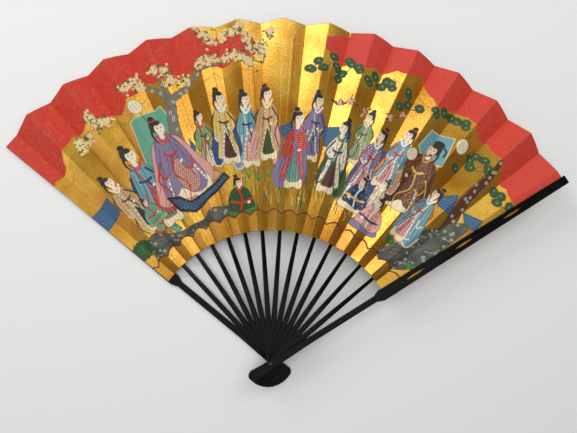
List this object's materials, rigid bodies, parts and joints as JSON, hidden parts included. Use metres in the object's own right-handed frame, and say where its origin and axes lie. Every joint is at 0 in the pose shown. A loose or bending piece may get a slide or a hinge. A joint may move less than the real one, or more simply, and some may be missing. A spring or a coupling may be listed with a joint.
{
  "type": "folding hand fan",
  "caption": "Spread folding fan: lacquered ribs and pierced guards on one rivet, with a pleated gold-ground paper leaf.",
  "frame": {"origin": "centre of the rivet's rear head, on the flat rear face that the fan lies on", "axes": "+Z along the rivet towards the painted side, +Y through the middle of the spread leaf"},
  "size_m": [0.5109, 0.3322, 0.0299],
  "materials": {
    "lacquer": "gloss black lacquer over bamboo",
    "leaf": null,
    "rivet": "aged brass"
  },
  "bodies": {
    "rear_side": {"rear_guard": "lacquer", "leaf_rear_end": "leaf", "rivet_pin": "rivet", "rivet_rear_head": "rivet", "rivet_front_head": "rivet"},
    "front_side": {"front_guard": "lacquer", "leaf_front_end": "leaf"},
    "rib_01": {"rib_01": "lacquer"},
    "leaf_rib_panel_01": {"leaf_rib_panel_01": "leaf"},
    "rib_02": {"rib_02": "lacquer"},
    "leaf_rib_panel_02": {"leaf_rib_panel_02": "leaf"},
    "rib_03": {"rib_03": "lacquer"},
    "leaf_rib_panel_03": {"leaf_rib_panel_03": "leaf"},
    "rib_04": {"rib_04": "lacquer"},
    "leaf_rib_panel_04": {"leaf_rib_panel_04": "leaf"},
    "rib_05": {"rib_05": "lacquer"},
    "leaf_rib_panel_05": {"leaf_rib_panel_05": "leaf"},
    "rib_06": {"rib_06": "lacquer"},
    "leaf_rib_panel_06": {"leaf_rib_panel_06": "leaf"},
    "rib_07": {"rib_07": "lacquer"},
    "leaf_rib_panel_07": {"leaf_rib_panel_07": "leaf"},
    "rib_08": {"rib_08": "lacquer"},
    "leaf_rib_panel_08": {"leaf_rib_panel_08": "leaf"},
    "rib_09": {"rib_09": "lacquer"},
    "leaf_rib_panel_09": {"leaf_rib_panel_09": "leaf"},
    "rib_10": {"rib_10": "lacquer"},
    "leaf_rib_panel_10": {"leaf_rib_panel_10": "leaf"},
    "rib_11": {"rib_11": "lacquer"},
    "leaf_rib_panel_11": {"leaf_rib_panel_11": "leaf"},
    "rib_12": {"rib_12": "lacquer"},
    "leaf_rib_panel_12": {"leaf_rib_panel_12": "leaf"},
    "rib_13": {"rib_13": "lacquer"},
    "leaf_rib_panel_13": {"leaf_rib_panel_13": "leaf"},
    "leaf_free_panel_01": {"leaf_free_panel_01": "leaf"},
    "leaf_free_panel_02": {"leaf_free_panel_02": "leaf"},
    "leaf_free_panel_03": {"leaf_free_panel_03": "leaf"},
    "leaf_free_panel_04": {"leaf_free_panel_04": "leaf"},
    "leaf_free_panel_05": {"leaf_free_panel_05": "leaf"},
    "leaf_free_panel_06": {"leaf_free_panel_06": "leaf"},
    "leaf_free_panel_07": {"leaf_free_panel_07": "leaf"},
    "leaf_free_panel_08": {"leaf_free_panel_08": "leaf"},
    "leaf_free_panel_09": {"leaf_free_panel_09": "leaf"},
    "leaf_free_panel_10": {"leaf_free_panel_10": "leaf"},
    "leaf_free_panel_11": {"leaf_free_panel_11": "leaf"},
    "leaf_free_panel_12": {"leaf_free_panel_12": "leaf"},
    "leaf_free_panel_13": {"leaf_free_panel_13": "leaf"},
    "leaf_free_panel_14": {"leaf_free_panel_14": "leaf"}
  },
  "joints": [
    {"name": "spread", "type": "hinge", "parent": "rear_side", "child": "front_side", "pos_m": [0, 0, 0.01962], "axis": [0, 0, 1], "range_deg": [0, 109]},
    {"name": "rib_01_swing", "type": "hinge", "parent": "rear_side", "child": "rib_01", "pos_m": [0, 0, 0.00402], "axis": [0, 0, 1], "range_deg": [-1, 8.79]},
    {"name": "leaf_rib_panel_01_tilt", "type": "hinge", "parent": "rib_01", "child": "leaf_rib_panel_01", "pos_m": [0, 0, 0.00402], "axis": [-0.7278, 0.6855, 0.0181], "range_deg": [-29, 1]},
    {"name": "rib_02_swing", "type": "hinge", "parent": "rear_side", "child": "rib_02", "pos_m": [0, 0, 0.00522], "axis": [0, 0, 1], "range_deg": [-1, 16.57]},
    {"name": "leaf_rib_panel_02_tilt", "type": "hinge", "parent": "rib_02", "child": "leaf_rib_panel_02", "pos_m": [0, 0, 0.00522], "axis": [-0.6282, 0.7778, 0.0181], "range_deg": [-29, 1]},
    {"name": "rib_03_swing", "type": "hinge", "parent": "rear_side", "child": "rib_03", "pos_m": [0, 0, 0.00642], "axis": [0, 0, 1], "range_deg": [-1, 24.36]},
    {"name": "leaf_rib_panel_03_tilt", "type": "hinge", "parent": "rib_03", "child": "leaf_rib_panel_03", "pos_m": [0, 0, 0.00642], "axis": [-0.5171, 0.8557, 0.0181], "range_deg": [-29, 1]},
    {"name": "rib_04_swing", "type": "hinge", "parent": "rear_side", "child": "rib_04", "pos_m": [0, 0, 0.00762], "axis": [0, 0, 1], "range_deg": [-1, 32.14]},
    {"name": "leaf_rib_panel_04_tilt", "type": "hinge", "parent": "rib_04", "child": "leaf_rib_panel_04", "pos_m": [0, 0, 0.00762], "axis": [-0.3964, 0.9179, 0.0181], "range_deg": [-29, 1]},
    {"name": "rib_05_swing", "type": "hinge", "parent": "rear_side", "child": "rib_05", "pos_m": [0, 0, 0.00882], "axis": [0, 0, 1], "range_deg": [-1, 39.93]},
    {"name": "leaf_rib_panel_05_tilt", "type": "hinge", "parent": "rib_05", "child": "leaf_rib_panel_05", "pos_m": [0, 0, 0.00882], "axis": [-0.2684, 0.9631, 0.0181], "range_deg": [-29, 1]},
    {"name": "rib_06_swing", "type": "hinge", "parent": "rear_side", "child": "rib_06", "pos_m": [0, 0, 0.01002], "axis": [0, 0, 1], "range_deg": [-1, 47.71]},
    {"name": "leaf_rib_panel_06_tilt", "type": "hinge", "parent": "rib_06", "child": "leaf_rib_panel_06", "pos_m": [0, 0, 0.01002], "axis": [-0.1354, 0.9906, 0.0181], "range_deg": [-29, 1]},
    {"name": "rib_07_swing", "type": "hinge", "parent": "rear_side", "child": "rib_07", "pos_m": [0, 0, 0.01122], "axis": [0, 0, 1], "range_deg": [-1, 55.5]},
    {"name": "leaf_rib_panel_07_tilt", "type": "hinge", "parent": "rib_07", "child": "leaf_rib_panel_07", "pos_m": [0, 0, 0.01122], "axis": [0, 0.9998, 0.0181], "range_deg": [-29, 1]},
    {"name": "rib_08_swing", "type": "hinge", "parent": "rear_side", "child": "rib_08", "pos_m": [0, 0, 0.01242], "axis": [0, 0, 1], "range_deg": [-1, 63.29]},
    {"name": "leaf_rib_panel_08_tilt", "type": "hinge", "parent": "rib_08", "child": "leaf_rib_panel_08", "pos_m": [0, 0, 0.01242], "axis": [0.1354, 0.9906, 0.0181], "range_deg": [-29, 1]},
    {"name": "rib_09_swing", "type": "hinge", "parent": "rear_side", "child": "rib_09", "pos_m": [0, 0, 0.01362], "axis": [0, 0, 1], "range_deg": [-1, 71.07]},
    {"name": "leaf_rib_panel_09_tilt", "type": "hinge", "parent": "rib_09", "child": "leaf_rib_panel_09", "pos_m": [0, 0, 0.01362], "axis": [0.2684, 0.9631, 0.0181], "range_deg": [-29, 1]},
    {"name": "rib_10_swing", "type": "hinge", "parent": "rear_side", "child": "rib_10", "pos_m": [0, 0, 0.01482], "axis": [0, 0, 1], "range_deg": [-1, 78.86]},
    {"name": "leaf_rib_panel_10_tilt", "type": "hinge", "parent": "rib_10", "child": "leaf_rib_panel_10", "pos_m": [0, 0, 0.01482], "axis": [0.3964, 0.9179, 0.0181], "range_deg": [-29, 1]},
    {"name": "rib_11_swing", "type": "hinge", "parent": "rear_side", "child": "rib_11", "pos_m": [0, 0, 0.01602], "axis": [0, 0, 1], "range_deg": [-1, 86.64]},
    {"name": "leaf_rib_panel_11_tilt", "type": "hinge", "parent": "rib_11", "child": "leaf_rib_panel_11", "pos_m": [0, 0, 0.01602], "axis": [0.5171, 0.8557, 0.0181], "range_deg": [-29, 1]},
    {"name": "rib_12_swing", "type": "hinge", "parent": "rear_side", "child": "rib_12", "pos_m": [0, 0, 0.01722], "axis": [0, 0, 1], "range_deg": [-1, 94.43]},
    {"name": "leaf_rib_panel_12_tilt", "type": "hinge", "parent": "rib_12", "child": "leaf_rib_panel_12", "pos_m": [0, 0, 0.01722], "axis": [0.6282, 0.7778, 0.0181], "range_deg": [-29, 1]},
    {"name": "rib_13_swing", "type": "hinge", "parent": "rear_side", "child": "rib_13", "pos_m": [0, 0, 0.01842], "axis": [0, 0, 1], "range_deg": [-1, 102.21]},
    {"name": "leaf_rib_panel_13_tilt", "type": "hinge", "parent": "rib_13", "child": "leaf_rib_panel_13", "pos_m": [0, 0, 0.01842], "axis": [0.7278, 0.6855, 0.0181], "range_deg": [-29, 1]},
    {"name": "leaf_free_panel_01_fold", "type": "hinge", "parent": "rear_side", "child": "leaf_free_panel_01", "pos_m": [0, 0, 0.00237], "axis": [-0.7939, 0.608, 0], "range_deg": [-146.21, 1], "deforming": ["leaf_free_panel_01"]},
    {"name": "leaf_free_panel_02_fold", "type": "hinge", "parent": "leaf_rib_panel_01", "child": "leaf_free_panel_02", "pos_m": [0, 0, 0.00402], "axis": [-0.7042, 0.71, 0], "range_deg": [-119.29, 1], "deforming": ["leaf_free_panel_02"]},
    {"name": "leaf_free_panel_03_fold", "type": "hinge", "parent": "leaf_rib_panel_02", "child": "leaf_free_panel_03", "pos_m": [0, 0, 0.00522], "axis": [-0.6016, 0.7988, 0], "range_deg": [-119.29, 1], "deforming": ["leaf_free_panel_03"]},
    {"name": "leaf_free_panel_04_fold", "type": "hinge", "parent": "leaf_rib_panel_03", "child": "leaf_free_panel_04", "pos_m": [0, 0, 0.00642], "axis": [-0.4878, 0.8729, 0], "range_deg": [-119.29, 1], "deforming": ["leaf_free_panel_04"]},
    {"name": "leaf_free_panel_05_fold", "type": "hinge", "parent": "leaf_rib_panel_04", "child": "leaf_free_panel_05", "pos_m": [0, 0, 0.00762], "axis": [-0.3651, 0.931, 0], "range_deg": [-119.29, 1], "deforming": ["leaf_free_panel_05"]},
    {"name": "leaf_free_panel_06_fold", "type": "hinge", "parent": "leaf_rib_panel_05", "child": "leaf_free_panel_06", "pos_m": [0, 0, 0.00882], "axis": [-0.2356, 0.9719, 0], "range_deg": [-119.29, 1], "deforming": ["leaf_free_panel_06"]},
    {"name": "leaf_free_panel_07_fold", "type": "hinge", "parent": "leaf_rib_panel_06", "child": "leaf_free_panel_07", "pos_m": [0, 0, 0.01002], "axis": [-0.1017, 0.9948, 0], "range_deg": [-119.29, 1], "deforming": ["leaf_free_panel_07"]},
    {"name": "leaf_free_panel_08_fold", "type": "hinge", "parent": "leaf_rib_panel_07", "child": "leaf_free_panel_08", "pos_m": [0, 0, 0.01122], "axis": [0.034, 0.9994, 0], "range_deg": [-119.29, 1], "deforming": ["leaf_free_panel_08"]},
    {"name": "leaf_free_panel_09_fold", "type": "hinge", "parent": "leaf_rib_panel_08", "child": "leaf_free_panel_09", "pos_m": [0, 0, 0.01242], "axis": [0.169, 0.9856, 0], "range_deg": [-119.29, 1], "deforming": ["leaf_free_panel_09"]},
    {"name": "leaf_free_panel_10_fold", "type": "hinge", "parent": "leaf_rib_panel_09", "child": "leaf_free_panel_10", "pos_m": [0, 0, 0.01362], "axis": [0.301, 0.9536, 0], "range_deg": [-119.29, 1], "deforming": ["leaf_free_panel_10"]},
    {"name": "leaf_free_panel_11_fold", "type": "hinge", "parent": "leaf_rib_panel_10", "child": "leaf_free_panel_11", "pos_m": [0, 0, 0.01482], "axis": [0.4274, 0.9041, 0], "range_deg": [-119.29, 1], "deforming": ["leaf_free_panel_11"]},
    {"name": "leaf_free_panel_12_fold", "type": "hinge", "parent": "leaf_rib_panel_11", "child": "leaf_free_panel_12", "pos_m": [0, 0, 0.01602], "axis": [0.5459, 0.8378, 0], "range_deg": [-119.29, 1], "deforming": ["leaf_free_panel_12"]},
    {"name": "leaf_free_panel_13_fold", "type": "hinge", "parent": "leaf_rib_panel_12", "child": "leaf_free_panel_13", "pos_m": [0, 0, 0.01722], "axis": [0.6544, 0.7561, 0], "range_deg": [-119.29, 1], "deforming": ["leaf_free_panel_13"]},
    {"name": "leaf_free_panel_14_fold", "type": "hinge", "parent": "leaf_rib_panel_13", "child": "leaf_free_panel_14", "pos_m": [0, 0, 0.01842], "axis": [0.7508, 0.6605, 0], "range_deg": [-131.77, 1], "deforming": ["leaf_free_panel_14"]}
  ],
  "couplings": [
    {"joint": "rib_01_swing", "follows": "spread", "ratio": 0.071429},
    {"joint": "leaf_rib_panel_01_tilt", "follows": "spread", "ratio": -0.25688},
    {"joint": "rib_02_swing", "follows": "spread", "ratio": 0.14286},
    {"joint": "leaf_rib_panel_02_tilt", "follows": "spread", "ratio": -0.25688},
    {"joint": "rib_03_swing", "follows": "spread", "ratio": 0.21429},
    {"joint": "leaf_rib_panel_03_tilt", "follows": "spread", "ratio": -0.25688},
    {"joint": "rib_04_swing", "follows": "spread", "ratio": 0.28571},
    {"joint": "leaf_rib_panel_04_tilt", "follows": "spread", "ratio": -0.25688},
    {"joint": "rib_05_swing", "follows": "spread", "ratio": 0.35714},
    {"joint": "leaf_rib_panel_05_tilt", "follows": "spread", "ratio": -0.25688},
    {"joint": "rib_06_swing", "follows": "spread", "ratio": 0.42857},
    {"joint": "leaf_rib_panel_06_tilt", "follows": "spread", "ratio": -0.25688},
    {"joint": "rib_07_swing", "follows": "spread", "ratio": 0.5},
    {"joint": "leaf_rib_panel_07_tilt", "follows": "spread", "ratio": -0.25688},
    {"joint": "rib_08_swing", "follows": "spread", "ratio": 0.57143},
    {"joint": "leaf_rib_panel_08_tilt", "follows": "spread", "ratio": -0.25688},
    {"joint": "rib_09_swing", "follows": "spread", "ratio": 0.64286},
    {"joint": "leaf_rib_panel_09_tilt", "follows": "spread", "ratio": -0.25688},
    {"joint": "rib_10_swing", "follows": "spread", "ratio": 0.71429},
    {"joint": "leaf_rib_panel_10_tilt", "follows": "spread", "ratio": -0.25688},
    {"joint": "rib_11_swing", "follows": "spread", "ratio": 0.78571},
    {"joint": "leaf_rib_panel_11_tilt", "follows": "spread", "ratio": -0.25688},
    {"joint": "rib_12_swing", "follows": "spread", "ratio": 0.85714},
    {"joint": "leaf_rib_panel_12_tilt", "follows": "spread", "ratio": -0.25688},
    {"joint": "rib_13_swing", "follows": "spread", "ratio": 0.92857},
    {"joint": "leaf_rib_panel_13_tilt", "follows": "spread", "ratio": -0.25688},
    {"joint": "leaf_free_panel_01_fold", "follows": "spread", "ratio": -1.3322},
    {"joint": "leaf_free_panel_02_fold", "follows": "spread", "ratio": -1.0852},
    {"joint": "leaf_free_panel_03_fold", "follows": "spread", "ratio": -1.0852},
    {"joint": "leaf_free_panel_04_fold", "follows": "spread", "ratio": -1.0852},
    {"joint": "leaf_free_panel_05_fold", "follows": "spread", "ratio": -1.0852},
    {"joint": "leaf_free_panel_06_fold", "follows": "spread", "ratio": -1.0852},
    {"joint": "leaf_free_panel_07_fold", "follows": "spread", "ratio": -1.0852},
    {"joint": "leaf_free_panel_08_fold", "follows": "spread", "ratio": -1.0852},
    {"joint": "leaf_free_panel_09_fold", "follows": "spread", "ratio": -1.0852},
    {"joint": "leaf_free_panel_10_fold", "follows": "spread", "ratio": -1.0852},
    {"joint": "leaf_free_panel_11_fold", "follows": "spread", "ratio": -1.0852},
    {"joint": "leaf_free_panel_12_fold", "follows": "spread", "ratio": -1.0852},
    {"joint": "leaf_free_panel_13_fold", "follows": "spread", "ratio": -1.0852},
    {"joint": "leaf_free_panel_14_fold", "follows": "spread", "ratio": -1.1998}
  ]
}
